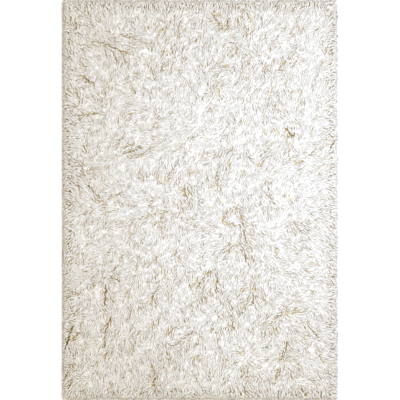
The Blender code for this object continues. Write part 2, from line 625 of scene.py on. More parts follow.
class PileTop:
    """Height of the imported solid's top anywhere over the rug, felt for from above on a grid
    that stays clear of the rounded edge."""

    def __init__(self, cell=0.02, inset=0.012, above=1.0):
        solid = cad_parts[CAD_NODE].data
        tree = BVHTree.FromPolygons(
            [v.co for v in solid.vertices], [tuple(p.vertices) for p in solid.polygons])
        self.stops_x = np.linspace(LOW.x + inset, HIGH.x - inset, int(RUG_WIDTH / cell))
        self.stops_y = np.linspace(LOW.y + inset, HIGH.y - inset, int(RUG_LENGTH / cell))
        down = Vector((0.0, 0.0, -1.0))
        self.heights = np.array([
            [tree.ray_cast(Vector((x, y, above)), down)[0].z for x in self.stops_x]
            for y in self.stops_y
        ])

    def at(self, x, y):
        """The heights over these points, blended between the four nearest samples."""
        across = np.interp(x, self.stops_x, np.arange(len(self.stops_x)))
        along = np.interp(y, self.stops_y, np.arange(len(self.stops_y)))
        column = np.minimum(across.astype(int), len(self.stops_x) - 2)
        row = np.minimum(along.astype(int), len(self.stops_y) - 2)
        return blended(self.heights, row, column, across - column, along - row)


PILE_TOP = PileTop()


def edge_distance(x, y, inset=0.0):
    """How far points lie inside the rug's outline, or inside a smaller one."""
    return np.minimum(RUG_WIDTH / 2 - inset - np.abs(x), RUG_LENGTH / 2 - inset - np.abs(y))


def edge_drop(to_edge):
    """What share of its height the pile loses where it rounds down to the floor."""
    return EDGE_DROP * bell(to_edge / EDGE_ROUNDING)


class Cells:
    """Small square cells all over the rug."""

    def __init__(self, size):
        self.size = size
        self.rows = int(RUG_LENGTH / size) + 1
        self.columns = int(RUG_WIDTH / size) + 1

    def holding(self, x, y):
        """Row and column of the cells that hold these points."""
        column = np.clip(((x + RUG_WIDTH / 2) / self.size).astype(int), 0, self.columns - 1)
        row = np.clip(((y + RUG_LENGTH / 2) / self.size).astype(int), 0, self.rows - 1)
        return row, column

    def middles(self, rows, columns):
        """The middles of the cells in these rows and columns, as two grids."""
        x = (columns + 0.5) * self.size - RUG_WIDTH / 2
        y = (rows + 0.5) * self.size - RUG_LENGTH / 2
        return np.meshgrid(x, y)


def jittered_grid(rng, spacing, inset, jitter):
    """Points about one spacing apart all over the rug, as rows and columns."""
    width, length = RUG_WIDTH - 2 * inset, RUG_LENGTH - 2 * inset
    columns, rows = round(width / spacing), round(length / spacing)
    x = (np.arange(columns) + 0.5) / columns * width - width / 2
    y = (np.arange(rows) + 0.5) / rows * length - length / 2
    grid_x, grid_y = np.meshgrid(x, y)
    grid_x = grid_x + rng.uniform(-jitter, jitter, grid_x.shape) * spacing
    grid_y = grid_y + rng.uniform(-jitter, jitter, grid_y.shape) * spacing
    return np.clip(grid_x, -width / 2, width / 2), np.clip(grid_y, -length / 2, length / 2)


def grid_points_round(x, y, grid_x, grid_y, far_away=1000.0):
    """Indices of the nine points of a jittered grid round each point, and their distances."""
    rows, columns = grid_x.shape
    column = np.clip(((x / RUG_WIDTH + 0.5) * columns).astype(int), 0, columns - 1)
    row = np.clip(((y / RUG_LENGTH + 0.5) * rows).astype(int), 0, rows - 1)
    indices, distances = [], []
    for step_row in (-1, 0, 1):
        for step_column in (-1, 0, 1):
            r, c = row + step_row, column + step_column
            outside = (r < 0) | (r >= rows) | (c < 0) | (c >= columns)
            r, c = np.clip(r, 0, rows - 1), np.clip(c, 0, columns - 1)
            indices.append(r * columns + c)
            distances.append(np.hypot(x - grid_x[r, c], y - grid_y[r, c]) + far_away * outside)
    return np.stack(indices), np.stack(distances)


# Combing ---------------------------------------------------


class Unevenness:
    """Soft random values over the rug, as large as given, changing over about one cell."""

    def __init__(self, rng, cell, size):
        self.cell = cell
        columns = int(RUG_WIDTH / cell) + 4
        rows = int(RUG_LENGTH / cell) + 4
        self.values = size * rng.uniform(-1.0, 1.0, (rows, columns))

    def at(self, x, y):
        """The values at these points, blended between the four corners of their cells."""
        rows, columns = self.values.shape
        across = np.clip((x + RUG_WIDTH / 2) / self.cell + 1.0, 0.0, columns - 1.001)
        along = np.clip((y + RUG_LENGTH / 2) / self.cell + 1.0, 0.0, rows - 1.001)
        column, row = across.astype(int), along.astype(int)
        return blended(self.values, row, column, smooth(across - column), smooth(along - row))


def beside(parting, x, y):
    """How far points lie past a parting's end, and across it, to the left of its heading."""
    heading = math.radians(parting.heading_deg)
    off_x, off_y = x - parting.x, y - parting.y
    along = off_x * math.cos(heading) + off_y * math.sin(heading)
    across = off_y * math.cos(heading) - off_x * math.sin(heading)
    past_end = np.maximum(0.0, np.abs(along) - parting.run / 2)
    return past_end, across


def nap_heading(x, y, turn):
    """Which way the pile lies at these points, in radians."""
    pull_x = np.zeros_like(x)
    pull_y = np.zeros_like(x)

    def comb(weight, heading):
        """Add one mark's pull to all the others'."""
        nonlocal pull_x, pull_y
        pull_x = pull_x + weight * np.cos(heading)
        pull_y = pull_y + weight * np.sin(heading)

    for stroke in STROKES:
        weight = bell(np.hypot(x - stroke.x, y - stroke.y) / stroke.reach)
        comb(weight, math.radians(stroke.heading_deg))
    for parting in PARTINGS:
        past_end, across = beside(parting, x, y)
        weight = PARTING_PULL * bell(np.hypot(past_end, across) / PARTING_REACH)
        side = np.tanh(across / parting.half_width)
        comb(weight, math.radians(parting.heading_deg) + side * math.radians(parting.spread_deg))
    for whorl in WHORLS:
        weight = WHORL_PULL * bell(np.hypot(x - whorl.x, y - whorl.y) / whorl.reach)
        comb(weight, np.arctan2(y - whorl.y, x - whorl.x) + math.radians(whorl.twist_deg))
    for outward, distance in (
        (0.0, RUG_WIDTH / 2 - x),
        (math.pi, RUG_WIDTH / 2 + x),
        (math.pi / 2, RUG_LENGTH / 2 - y),
        (-math.pi / 2, RUG_LENGTH / 2 + y),
    ):
        comb(EDGE_PULL * np.exp(-np.abs(distance) / EDGE_REACH), outward)
    return np.arctan2(pull_y, pull_x) + turn.at(x, y)


def combed_paths(x, y, reach, turn, own_turn):
    """Follow the nap both ways from each lock's middle, and return its places stop by stop."""
    path_x, path_y = [x], [y]
    for step in np.diff(RUN_SHARES)[MIDDLE_STOP:]:
        heading = nap_heading(path_x[-1], path_y[-1], turn) + own_turn
        path_x.append(path_x[-1] + reach * step * np.cos(heading))
        path_y.append(path_y[-1] + reach * step * np.sin(heading))
    for step in np.diff(RUN_SHARES)[:MIDDLE_STOP][::-1]:
        heading = nap_heading(path_x[0], path_y[0], turn) + own_turn
        path_x.insert(0, path_x[0] - reach * step * np.cos(heading))
        path_y.insert(0, path_y[0] - reach * step * np.sin(heading))
    return np.array(path_x), np.array(path_y)


# Swells and slits ------------------------------------------


class Swells:
    """The soft swells of the pile, with hollows between them."""

    def __init__(self, rng):
        self.x, self.y = jittered_grid(rng, SWELL_SPACING, 0.0, SWELL_JITTER)

    def hollow(self, x, y):
        """From nearly 0 on top of a swell up to 1 halfway between two."""
        distances = grid_points_round(x, y, self.x, self.y)[1]
        first, second = np.sort(distances, axis=0)[:2]
        return bell((second - first) / (HOLLOW_WIDTH * SWELL_SPACING))


def small_partings(rng, turn, swells):
    """The many short slits between locks, most of them in the hollows, lying with the nap."""
    x, y = jittered_grid(rng, SLIT_SPACING, SLIT_INSET, SLIT_JITTER)
    x, y = x.ravel(), y.ravel()
    by_parting = [bell(np.hypot(x - p.x, y - p.y) / SLIT_GATHERING) for p in PARTINGS]
    chance = SLIT_CHANCE_IN_HOLLOW * swells.hollow(x, y)
    chance = chance + SLIT_CHANCE_BY_PARTING * np.max(by_parting, axis=0)
    kept = rng.random(x.shape) < chance
    x, y = x[kept], y[kept]
    heading = np.degrees(nap_heading(x, y, turn) + rng.normal(0.0, SLIT_TURN, x.shape))
    run = rng.uniform(*SLIT_RUNS, x.shape)
    half_width = rng.uniform(*SLIT_HALF_WIDTHS, x.shape)
    return [Parting(*slit) for slit in zip(x, y, run, heading, np.zeros_like(x), half_width)]


def broken_up(rng, partings):
    """Break partings into short pieces that follow one another in a wavy line."""
    pieces = []
    for parting in partings:
        heading = math.radians(parting.heading_deg)
        count = max(1, round(parting.run / SLIT_PIECE))
        for step in range(count):
            along = ((step + 0.5) / count - 0.5) * parting.run
            off = rng.normal(0.0, SLIT_WANDER)
            pieces.append(parting._replace(
                x=parting.x + along * math.cos(heading) - off * math.sin(heading),
                y=parting.y + along * math.sin(heading) + off * math.cos(heading),
                run=parting.run / count * SLIT_PIECE_RUN,
                heading_deg=parting.heading_deg + rng.normal(0.0, SLIT_WAVE_DEG),
                half_width=parting.half_width * rng.uniform(*SLIT_PIECE_WIDTHS),
            ))
    return pieces


class Slits(Cells):
    """How deep the pile falls into the slits between its locks, cell by cell over the rug."""

    def __init__(self, partings):
        super().__init__(SLIT_CELL)
        self.depths = np.zeros((self.rows, self.columns))
        both_ways = np.array([-1, 1])
        for parting in partings:
            reach = parting.run / 2 + SLIT_FADE * parting.half_width
            row, column = self.holding(parting.x + reach * both_ways, parting.y + reach * both_ways)
            rows = np.arange(row[0], row[1] + 1)
            columns = np.arange(column[0], column[1] + 1)
            past_end, across = beside(parting, *self.middles(rows, columns))
            depth = SLIT_STEEPNESS * parting.half_width
            depth = depth * bell(across / parting.half_width) * bell(past_end / parting.half_width)
            window = self.depths[row[0]:row[1] + 1, column[0]:column[1] + 1]
            np.maximum(window, depth, out=window)

    def at(self, x, y):
        """The depths at these points."""
        return self.depths[self.holding(x, y)]

    def around(self, x, y, margin):
        """The deepest within a margin of these points."""
        steps = (-margin, -margin / 2, 0.0, margin / 2, margin)
        return np.max([self.at(x + dx, y + dy) for dx in steps for dy in steps], axis=0)


def open_partings(partings, x, y):
    """Push the locks' paths off the partings, to the side that they are rooted on."""
    for parting in partings:
        reach = PUSH_REACH + parting.run / 2
        near = np.abs(x[MIDDLE_STOP] - parting.x) < reach
        near &= np.abs(y[MIDDLE_STOP] - parting.y) < reach
        near = np.flatnonzero(near)
        past_end, across = beside(parting, x[:, near], y[:, near])
        side = np.where(across[MIDDLE_STOP] >= 0, 1.0, -1.0)
        inside = across * side
        crowd = CROWDING * parting.half_width
        power = np.minimum((inside - parting.half_width) / crowd, LARGEST_POWER)
        kept = parting.half_width + crowd * np.log1p(np.exp(power))
        kept = np.where(inside > parting.half_width + CROWD_FADE * crowd, inside, kept)
        push = (kept - inside) * bell(past_end / PUSH_FADE) * RISE_SHARES[:, None] * side
        heading = math.radians(parting.heading_deg)
        x[:, near] -= push * math.sin(heading)
        y[:, near] += push * math.cos(heading)
    return x, y


class FootTop:
    """Height of the dense foot of the pile, lower in the hollows and under the slits."""

    def __init__(self, swells, slits):
        self.swells = swells
        self.slits = slits

    def at(self, x, y):
        """The heights over these points."""
        fall = HOLLOW_DEPTH * self.swells.hollow(x, y) + self.slits.around(x, y, FOOT_MARGIN)
        return PILE_TOP.at(x, y) * FOOT_SHARE - fall


# Locks -----------------------------------------------------


class Tufts(NamedTuple):
    """For each lock, the place, turn, lift and tint of the tuft that it clings to."""

    x: np.ndarray
    y: np.ndarray
    turn: np.ndarray
    lift: np.ndarray
    tint: np.ndarray


def gathered_in_tufts(rng, pile, ground):
    """The middles of the locks, and the tufts that they cling to."""
    grid_x, grid_y = jittered_grid(rng, pile.tuft_spacing, ground.overhang, GRID_JITTER)
    x, y = jittered_grid(rng, pile.lock_spacing, LOCK_INSET, GRID_JITTER)
    x, y = x.ravel(), y.ravel()
    indices, distances = grid_points_round(x, y, grid_x, grid_y)
    nearest = np.take_along_axis(indices, distances.argmin(axis=0)[None], axis=0)[0]
    turn = rng.normal(0.0, math.radians(TUFT_TURN_DEG), grid_x.size)
    lift = rng.uniform(0.0, 1.0, grid_x.size)
    tint = rng.normal(0.0, 1.0, grid_x.size)
    return x, y, Tufts(*(v[nearest] for v in (grid_x.ravel(), grid_y.ravel(), turn, lift, tint)))


def wavy_paths(rng, pile, turn, x, y, tufts, under):
    """The lie of every lock seen from above, from the middle of the lock both ways."""
    count = x.size
    stops = RUN_SHARES[:, None]
    any_way = rng.uniform(-math.pi, math.pi, count)
    own_turn = tufts.turn + rng.normal(0.0, math.radians(OWN_TURN_DEG), count)
    under_reach = rng.uniform(*UNDER_REACHES, count)
    reach = pile.lock_reach * np.where(under, under_reach, rng.uniform(*LOCK_REACHES, count))
    path_x, path_y = combed_paths(x, y, reach, turn, np.where(under, any_way, own_turn))
    gather = np.where(under, 0.0, rng.uniform(0.0, GATHER, count)) * stops**GATHER_CURVE
    path_x = path_x - gather * (x - tufts.x)
    path_y = path_y - gather * (y - tufts.y)

    run_x, run_y = path_x[-1] - path_x[0], path_y[-1] - path_y[0]
    length = np.hypot(run_x, run_y)
    wave = rng.normal(0.0, WAVE, count) * np.sin(
        2 * math.pi * (rng.uniform(*WAVE_TURNS, count) * stops + rng.uniform(0, 1, count))
    )
    wave = wave * smooth(np.minimum(stops * WAVE_RISE, 1.0))
    return path_x - wave * run_y / length, path_y + wave * run_x / length


def held_inside(values, side, overhang):
    """Bring paths past the outline back to it, gently, and their roots back to the ground."""
    start = side / 2 - EDGE_SOFTNESS
    over = np.maximum(np.abs(values) - start, 0.0)
    eased = np.sign(values) * (start + EDGE_SOFTNESS * np.tanh(over / EDGE_SOFTNESS))
    values = np.where(over > 0, eased, values)
    values[0] = np.clip(values[0], overhang - side / 2, side / 2 - overhang)
    return values


def lay_locks(pile, ground):
    """The path of every lock, stop by stop, with its width and tint, and the foot's top."""
    rng = np.random.default_rng(pile.seed)
    turn = Unevenness(rng, TURN_CELL, math.radians(TURN_DEG))
    middle_x, middle_y, tufts = gathered_in_tufts(rng, pile, ground)
    count = middle_x.size
    under = rng.random(count) < UNDER_WOOL
    x, y = wavy_paths(rng, pile, turn, middle_x, middle_y, tufts, under)

    lift = TUFT_LIFT * tufts.lift + (1 - TUFT_LIFT) * rng.uniform(0.0, 1.0, count)
    swells = Swells(rng)
    lift = 1 - (1 - lift) * (1 - SWELL_CALM * (1 - swells.hollow(middle_x, middle_y)))
    lift = np.where(under, UNDER_LIFT * lift, lift)
    partings = [p._replace(half_width=p.half_width * PARTING_WIDTH) for p in PARTINGS]
    partings = broken_up(rng, partings + small_partings(rng, turn, swells))
    slits = Slits(partings)
    x, y = open_partings(partings, x, y)
    width = pile.lock_width * rng.uniform(*LOCK_WIDTHS, count)
    x = held_inside(x, RUG_WIDTH, ground.overhang)
    y = held_inside(y, RUG_LENGTH, ground.overhang)

    crest = PILE_TOP.at(x, y) * (LOW_CREST + (1 - LOW_CREST) * lift)
    crest = crest - HOLLOW_DEPTH * swells.hollow(x, y) - LOCK_SINK * slits.at(x, y)
    rise = crest * RISE_SHARES[:, None] * (1 - edge_drop(edge_distance(x, y)))
    z = ground.thickness * ROOT_SHARE + rise
    loose = np.minimum(RUN_SHARES[:, None] * UNEVEN_RISE, 1.0)
    z = z + rng.normal(0.0, LOCK_UNEVENNESS, z.shape) * loose
    tint = TUFT_TINT * tufts.tint + OWN_TINT * rng.normal(0.0, 1.0, count)
    paths = np.stack([x, y, np.maximum(z, LOWEST_LOCK)], axis=-1)
    return paths, width, tint, FootTop(swells, slits)


def model_lock():
    """One straight lock standing on its root, a ring to each stop of its path, one wide."""
    deselect_all()
    bpy.ops.mesh.primitive_circle_add(
        vertices=LOCK_SIDES, radius=RING_WIDTHS[0] / 2, fill_type="NGON", location=(0, 0, 0)
    )
    lock = bpy.context.object
    bpy.ops.object.mode_set(mode="EDIT")
    widths = RING_WIDTHS + (RING_WIDTHS[-1] / 2,)
    for below, width in zip(widths, widths[1:]):
        bpy.ops.mesh.extrude_region_move(TRANSFORM_OT_translate={"value": (0.0, 0.0, 1.0)})
        bpy.ops.transform.resize(value=(width / below, width / below, 1.0))
    bpy.ops.mesh.merge(type="CENTER")
    bpy.ops.mesh.select_all(action="SELECT")
    bpy.ops.mesh.normals_make_consistent(inside=False)
    bpy.ops.mesh.quads_convert_to_tris()
    bpy.ops.object.mode_set(mode="OBJECT")
    return settle(lock, "lock")


class LockPattern:
    """What every lock of the pile is copied from: its points, faces and unwrapped corners."""

    def __init__(self, lock):
        points = np.array([v.co for v in lock.data.vertices])
        self.ring = np.rint(points[:, 2]).astype(int)
        self.across = points[:, 0]
        self.up = points[:, 1]
        self.faces = np.array([tuple(p.vertices) for p in lock.data.polygons])
        step = 2 * math.pi / LOCK_SIDES
        corner = np.rint(np.arctan2(self.up, self.across) / step).astype(int) % LOCK_SIDES
        self.corners = np.array([self.unwrap(face, corner) for face in self.faces])

    def unwrap(self, face, corner):
        """Round-the-lock and root-to-tip places of a face's corners, both from 0 to 1."""
        last = len(RUN_SHARES) - 1
        on_ring = [i for i in face if self.ring[i] < last]
        wraps = {corner[i] for i in on_ring} >= {0, LOCK_SIDES - 1}
        around = {i: LOCK_SIDES if wraps and corner[i] == 0 else corner[i] for i in on_ring}
        middle = sum(around.values()) / len(around)
        return [(around.get(i, middle) / LOCK_SIDES, self.ring[i] / last) for i in face]

    def atlas(self, count):
        """A place of its own on a square map for each lock's unwrapped faces."""
        cells = math.ceil(math.sqrt(count))
        index = np.arange(count)
        origin = np.stack([index % cells, index // cells], axis=-1)
        inner = ATLAS_MARGIN + self.corners * (1 - 2 * ATLAS_MARGIN)
        return (origin[:, None, None, :] + inner[None]) / cells


def bend_locks(pattern, paths, width, roll):
    """Bend a copy of the pattern along each path: all points of all the locks."""
    tangent = np.gradient(paths, axis=0)
    tangent /= np.linalg.norm(tangent, axis=-1, keepdims=True)
    side = np.cross(tangent, (0.0, 0.0, 1.0))
    side /= np.maximum(np.linalg.norm(side, axis=-1, keepdims=True), 1e-6)
    up = np.cross(side, tangent)
    cosine, sine = np.cos(roll)[None, :], np.sin(roll)[None, :]
    across = pattern.across[:, None] * cosine - pattern.up[:, None] * sine
    rise = (pattern.across[:, None] * sine + pattern.up[:, None] * cosine) * LOCK_FLATNESS
    ring = pattern.ring
    offset = side[ring] * across[..., None] + up[ring] * rise[..., None]
    points = paths[ring] + offset * width[:, None]
    return points.transpose(1, 0, 2)


def spread(values, reach, gather):
    """Gather each cell's neighbours up to a reach away, along one axis and then the other."""
    for axis in (0, 1):
        padded = np.pad(values, [(reach, reach) if axis == a else (0, 0) for a in (0, 1)], "edge")
        cells = np.arange(values.shape[axis])
        values = np.take(padded, cells, axis)
        for step in range(1, 2 * reach + 1):
            values = gather(values, np.take(padded, cells + step, axis))
    return values


class PileSurface(Cells):
    """The highest wool over each small cell of the rug, to tell how shut in a point is for the
    painted shade.
    """

    # Lines along a lock: how far across it they lie and how high, as shares of its width.
    LINES = ((-0.3, 0.25), (0.0, 0.4), (0.3, 0.25))

    def __init__(self, paths, width, foot_top):
        super().__init__(SURFACE_CELL)
        height = foot_top.at(*self.middles(np.arange(self.rows), np.arange(self.columns)))
        stops = np.linspace(0, len(paths) - 1.001, SURFACE_STOPS)
        before = stops.astype(int)
        part = (stops - before)[:, None, None]
        middle = paths[before] * (1 - part) + paths[before + 1] * part
        run = np.gradient(middle[..., :2], axis=0)
        run /= np.linalg.norm(run, axis=-1, keepdims=True)
        for across, rise in self.LINES:
            x = middle[..., 0] - across * width * run[..., 1]
            y = middle[..., 1] + across * width * run[..., 0]
            z = middle[..., 2] + LOCK_FLATNESS * width * rise
            np.maximum.at(height, self.holding(x, y), z)
        highest = spread(height, CREST_CELLS, np.maximum)
        self.crests = spread(highest, CREST_CELLS, np.add) / (2 * CREST_CELLS + 1) ** 2

    def crest(self, points):
        """How high the wool reaches all round each point."""
        x, y, z = points[..., 0], points[..., 1], points[..., 2]
        to_edge = edge_distance(x, y)
        rounded = 1 - edge_drop(to_edge)
        # Near the rim the crest is kept close above each point, so the painted shade there stays
        # light.
        allowed = RIM_DEPTH + RIM_REACH * (np.maximum(to_edge, 0.0) / RIM_REACH) ** 4
        return np.minimum(self.crests[self.holding(x, y)] * rounded, z + allowed)


def mark(mesh, name, values):
    """Give every point of a mesh a value of its own."""
    attribute = mesh.attributes.new(name, "FLOAT", "POINT")
    attribute.data.foreach_set("value", values.astype(np.float32).ravel())


def strip_mesh(name, pattern, points, tint, crest):
    """One mesh of many locks."""
    count, each = points.shape[:2]
    faces = (pattern.faces[None] + (np.arange(count) * each)[:, None, None]).reshape(-1, 3)
    mesh = bpy.data.meshes.new(name)
    mesh.vertices.add(count * each)
    mesh.vertices.foreach_set("co", points.astype(np.float32).ravel())
    mesh.loops.add(faces.size)
    mesh.loops.foreach_set("vertex_index", faces.astype(np.int32).ravel())
    mesh.polygons.add(len(faces))
    mesh.polygons.foreach_set("loop_start", np.arange(0, faces.size, 3, dtype=np.int32))
    mesh.update(calc_edges=True)
    run = mesh.uv_layers.new(name="lock_run", do_init=False)
    run.data.foreach_set("uv", np.tile(pattern.corners.ravel(), count).astype(np.float32))
    bake = mesh.uv_layers.new(name="OFBake", do_init=False)
    bake.data.foreach_set("uv", pattern.atlas(count).astype(np.float32).ravel())
    mark(mesh, "lock_tint", np.repeat(tint, each))
    mark(mesh, "pile_crest", crest)
    mesh.shade_smooth()
    mesh.validate()
    return mesh


def wool_material(pile):
    """Ivory wool with painted shade: tan-gold deep between the locks and on their flanks, pale on
    top; each lock a little different.
    """
    material, tree, shader = new_material(SLOT)
    # Painted shade: the deeper a point lies under the wool's crest, and the steeper its flank, the
    # nearer it turns to the shade colour.
    crest = add_node(tree, "ShaderNodeAttribute", attribute_name="pile_crest")
    place = add_node(tree, "ShaderNodeTexCoord")
    height = add_node(tree, "ShaderNodeSeparateXYZ", {"Vector": place.outputs["Object"]})
    depth = add_node(tree, "ShaderNodeMapRange", {
        "Value": calculate(tree, "SUBTRACT", crest.outputs["Fac"], height.outputs["Z"]),
        "From Min": SHADE_START_DEPTH, "From Max": SHADE_FULL_DEPTH,
    })
    surface = add_node(tree, "ShaderNodeNewGeometry")
    facing = add_node(tree, "ShaderNodeSeparateXYZ", {"Vector": surface.outputs["Normal"]})
    flank = add_node(tree, "ShaderNodeMapRange", {
        "Value": facing.outputs["Z"], "From Min": 1.0, "From Max": 0.4, "To Max": FLANK_SHADE,
    })
    painted_shade_amount = calculate(
        tree, "ADD", flank.outputs["Result"], depth.outputs["Result"], use_clamp=True)
    # A Mix node's colours are its inputs 6 and 7, and its output 2.
    colour = add_node(tree, "ShaderNodeMix", {
        "Factor": painted_shade_amount, 6: (*pile.tip_colour, 1.0), 7: (*pile.painted_shade_colour, 1.0),
    }, data_type="RGBA").outputs[2]
    tint = add_node(tree, "ShaderNodeAttribute", attribute_name="lock_tint")
    varied = add_node(tree, "ShaderNodeHueSaturation", {
        "Value": calculate(tree, "MULTIPLY_ADD", tint.outputs["Fac"], TINT_STRENGTH, 1.0),
        "Color": colour,
    })
    run = add_node(tree, "ShaderNodeUVMap", uv_map="lock_run")
    fibres = add_node(tree, "ShaderNodeMapping", {
        "Vector": run.outputs["UV"], "Scale": (26.0, 2.4, 1.0),
    })
    grain = add_node(tree, "ShaderNodeTexNoise", {
        "Vector": fibres.outputs["Vector"], "Scale": 1.0, "Detail": 3.0,
    })
    bump = add_node(tree, "ShaderNodeBump", {
        "Strength": 0.5, "Distance": 0.0013, "Height": grain.outputs["Fac"],
    })
    finish_wool(tree, shader, varied, bump, 0.9)
    return material


def finish_wool(tree, shader, colour, bump, roughness):
    """Wire a wool's colour and bump to its shader, and make it matt."""
    tree.links.new(colour.outputs["Color"], shader.inputs["Base Color"])
    tree.links.new(bump.outputs["Normal"], shader.inputs["Normal"])
    shader.inputs["Roughness"].default_value = roughness
    shader.inputs["Specular IOR Level"].default_value = 0.15


# Foot ------------------------------------------------------


def model_foot(inset):
    """A closed mat as large as the foot, its top one metre up, its underside on the floor."""
    deselect_all()
    bpy.ops.mesh.primitive_grid_add(
        x_subdivisions=FOOT_CELLS[0], y_subdivisions=FOOT_CELLS[1], size=1.0, location=(0, 0, 0)
    )
    foot = bpy.context.object
    bpy.ops.object.mode_set(mode="EDIT")
    bpy.ops.transform.resize(value=(RUG_WIDTH - 2 * inset, RUG_LENGTH - 2 * inset, 1.0))
    bpy.ops.transform.translate(value=(0.0, 0.0, 1.0))
    bpy.ops.mesh.region_to_loop()
    bpy.ops.mesh.extrude_region_move(TRANSFORM_OT_translate={"value": (0.0, 0.0, -1.0)})
    bpy.ops.mesh.edge_face_add()
    bpy.ops.mesh.select_all(action="SELECT")
    bpy.ops.mesh.normals_make_consistent(inside=False)
    bpy.ops.object.mode_set(mode="OBJECT")
    return settle(foot, "pile_foot")


def make_foot(pile, ground, surface, foot_top):
    """The dense standing foot of the pile, a low mat that fills the space under the locks."""
    inset = ground.overhang + FOOT_INSET
    foot = model_foot(inset)
    mesh = foot.data
    points = np.empty(len(mesh.vertices) * 3, np.float32)
    mesh.vertices.foreach_get("co", points)
    points = points.reshape(-1, 3)
    top = points[:, 2] > 0.5
    x, y = points[:, 0], points[:, 1]
    rng = np.random.default_rng(pile.seed + 2)
    height = foot_top.at(x, y) + rng.normal(0.0, FOOT_UNEVENNESS, x.shape)
    to_edge = edge_distance(x, y, inset)
    height = height * (1 - FOOT_EDGE_DROP * np.exp(-to_edge / FOOT_EDGE_REACH))
    points[:, 2] = np.where(top, height, ground.thickness * FOOT_BASE)
    mesh.vertices.foreach_set("co", points.ravel())
    mesh.update()
    # The foot's painted shade comes from its depth under the crest. The crest is kept close above
    # the foot, and closer still by the edge.
    crest = surface.crest(points)
    by_edge = to_edge < FOOT_EDGE_REACH
    crest = np.where(by_edge, np.minimum(crest, points[:, 2] + FOOT_EDGE_DEPTH), crest)
    mark(mesh, "pile_crest", np.minimum(crest, points[:, 2] + FOOT_DEPTH))
    run = mesh.uv_layers[0]
    run.name = "lock_run"
    corners = np.empty(len(mesh.loops), np.int32)
    mesh.loops.foreach_get("vertex_index", corners)
    strands = points[corners, :2] / (pile.lock_width, pile.lock_reach)
    run.data.foreach_set("uv", strands.astype(np.float32).ravel())
    mark(mesh, "lock_tint", np.zeros(len(points)))
    mesh.shade_smooth()
    return foot


# Ground ----------------------------------------------------


def thread_swell(tree, count):
    """How far a thread's round side rises, from its edges to its middle."""
    turns = calculate(tree, "MULTIPLY", count, math.pi)
    return calculate(tree, "ABSOLUTE", calculate(tree, "SINE", turns))


def weave_group():
    """Shader nodes for a plain weave: threads that pass over and under one another."""
    group = bpy.data.node_groups.new("plain_weave", "ShaderNodeTree")
    for name, kind in (("Place", "NodeSocketVector"), ("Thread Spacing", "NodeSocketFloat")):
        group.interface.new_socket(name, in_out="INPUT", socket_type=kind)
    for name in ("Height", "Unevenness"):
        group.interface.new_socket(name, in_out="OUTPUT", socket_type="NodeSocketFloat")
    given = add_node(group, "NodeGroupInput")
    threads = add_node(group, "ShaderNodeVectorMath", {
        0: given.outputs["Place"], 1: given.outputs["Thread Spacing"],
    }, operation="DIVIDE")
    count = add_node(group, "ShaderNodeSeparateXYZ", {"Vector": threads.outputs["Vector"]})
    flat = add_node(group, "ShaderNodeCombineXYZ", {
        "X": count.outputs["X"], "Y": count.outputs["Y"], "Z": 0.5,
    })
    over = add_node(group, "ShaderNodeTexChecker", {"Vector": flat.outputs["Vector"], "Scale": 1.0})
    warp, weft = (thread_swell(group, count.outputs[axis]) for axis in "XY")
    top = add_node(group, "ShaderNodeMix", {
        "Factor": over.outputs["Fac"],
        "A": calculate(group, "MULTIPLY", warp, 0.5),
        "B": calculate(group, "MULTIPLY", weft, 0.5),
    })
    crossing = calculate(group, "MULTIPLY", warp, weft)
    height = calculate(group, "MULTIPLY_ADD", crossing, 0.5, top.outputs["Result"])
    yarn = add_node(group, "ShaderNodeTexNoise", {
        "Vector": threads.outputs["Vector"], "Scale": 0.7, "Detail": 3.0,
    })
    add_node(group, "NodeGroupOutput", {"Height": height, "Unevenness": yarn.outputs["Fac"]})
    return group


def ground_material(ground):
    """Undyed wool threads in a plain weave, with painted shade where they dip under one another."""
    material, tree, shader = new_material("ground_wool")
    place = add_node(tree, "ShaderNodeTexCoord")
    weave = add_node(tree, "ShaderNodeGroup", {
        "Place": place.outputs["Object"], "Thread Spacing": ground.thread,
    }, node_tree=weave_group())
    shade = calculate(tree, "MULTIPLY_ADD", weave.outputs["Unevenness"], 0.5, 0.55)
    # The weave's height darkens the threads where they dip under one another: painted shade.
    varied = add_node(tree, "ShaderNodeHueSaturation", {
        "Value": calculate(tree, "MULTIPLY_ADD", weave.outputs["Height"], 0.3, shade),
        "Color": (*ground.colour, 1.0),
    })
    bump = add_node(tree, "ShaderNodeBump", {
        "Strength": 0.8, "Distance": 0.001, "Height": weave.outputs["Height"],
    })
    finish_wool(tree, shader, varied, bump, 0.95)
    return material


def ground_size(ground):
    """Width and length of the woven ground, a little less than the pile's reach."""
    return RUG_WIDTH - 2 * ground.overhang, RUG_LENGTH - 2 * ground.overhang


def make_ground(ground):
    """The flat woven ground."""
    deselect_all()
    bpy.ops.mesh.primitive_plane_add(size=1.0, location=(0, 0, 0))
    cloth = bpy.context.object
    bpy.ops.object.mode_set(mode="EDIT")
    bpy.ops.transform.resize(value=(*ground_size(ground), 1.0))
    bpy.ops.mesh.subdivide(number_cuts=20)
    bpy.ops.mesh.extrude_region_move(TRANSFORM_OT_translate={"value": (0.0, 0.0, ground.thickness)})
    bpy.ops.mesh.select_all(action="SELECT")
    bpy.ops.mesh.normals_make_consistent(inside=False)
    bpy.ops.object.mode_set(mode="OBJECT")
    settle(cloth, "woven_ground")
    cloth.data.materials.append(ground_material(ground))
    return cloth


# Stage -----------------------------------------------------


